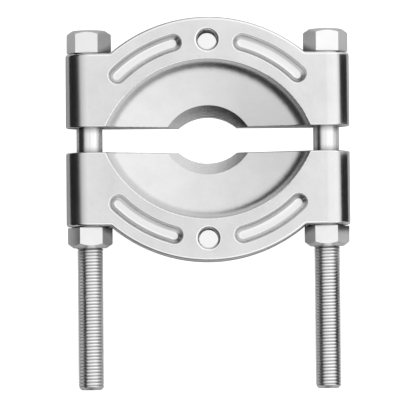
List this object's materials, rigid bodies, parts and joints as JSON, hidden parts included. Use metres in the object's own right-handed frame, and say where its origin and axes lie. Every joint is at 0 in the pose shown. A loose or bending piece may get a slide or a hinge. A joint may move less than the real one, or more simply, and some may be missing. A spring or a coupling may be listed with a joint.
{
  "type": "bearing separator",
  "caption": "Two dished half-round jaws with a knife-edged opening, drawn together behind a bearing by long bolts and nuts, for use with a puller.",
  "frame": {"origin": "on the bearing axis, midway between the two split faces at rest, in the plane of the flat backs", "axes": "+X across the two bolts, +Y along the bolts towards their heads, +Z from the flat backs to the dished faces"},
  "size_m": [0.175, 0.229, 0.029],
  "materials": {
    "jaw_steel": "satin plated forging",
    "bolt_steel": "satin plated, rolled thread",
    "nut_steel": "satin plated"
  },
  "bodies": {
    "upper_jaw": {"upper_jaw": "jaw_steel"},
    "lower_jaw": {"lower_jaw": "jaw_steel"},
    "left_bolt": {"left_bolt": "bolt_steel"},
    "right_bolt": {"right_bolt": "bolt_steel"},
    "left_nut": {"left_nut": "nut_steel"},
    "right_nut": {"right_nut": "nut_steel"}
  },
  "joints": [
    {"name": "jaw_slide", "type": "slide", "parent": "upper_jaw", "child": "lower_jaw", "axis": [0, 1, 0], "range_m": [-0.085, 0.0154]},
    {"name": "left_nut_turn", "type": "hinge", "parent": "lower_jaw", "child": "left_nut", "pos_m": [-0.073, -0.06, 0.0145], "axis": [0, 1, 0], "range_deg": [-15300, 2772]},
    {"name": "right_nut_turn", "type": "hinge", "parent": "lower_jaw", "child": "right_nut", "pos_m": [0.073, -0.06, 0.0145], "axis": [0, 1, 0], "range_deg": [-15300, 2772]},
    {"name": "left_bolt_turn", "type": "hinge", "parent": "upper_jaw", "child": "left_bolt", "pos_m": [-0.073, 0.06, 0.0145], "axis": [0, 1, 0], "continuous": true},
    {"name": "right_bolt_turn", "type": "hinge", "parent": "upper_jaw", "child": "right_bolt", "pos_m": [0.073, 0.06, 0.0145], "axis": [0, 1, 0], "continuous": true}
  ],
  "couplings": [
    {"joint": "left_nut_turn", "follows": "jaw_slide", "rad_per_m": 3141.6},
    {"joint": "right_nut_turn", "follows": "jaw_slide", "rad_per_m": 3141.6}
  ]
}
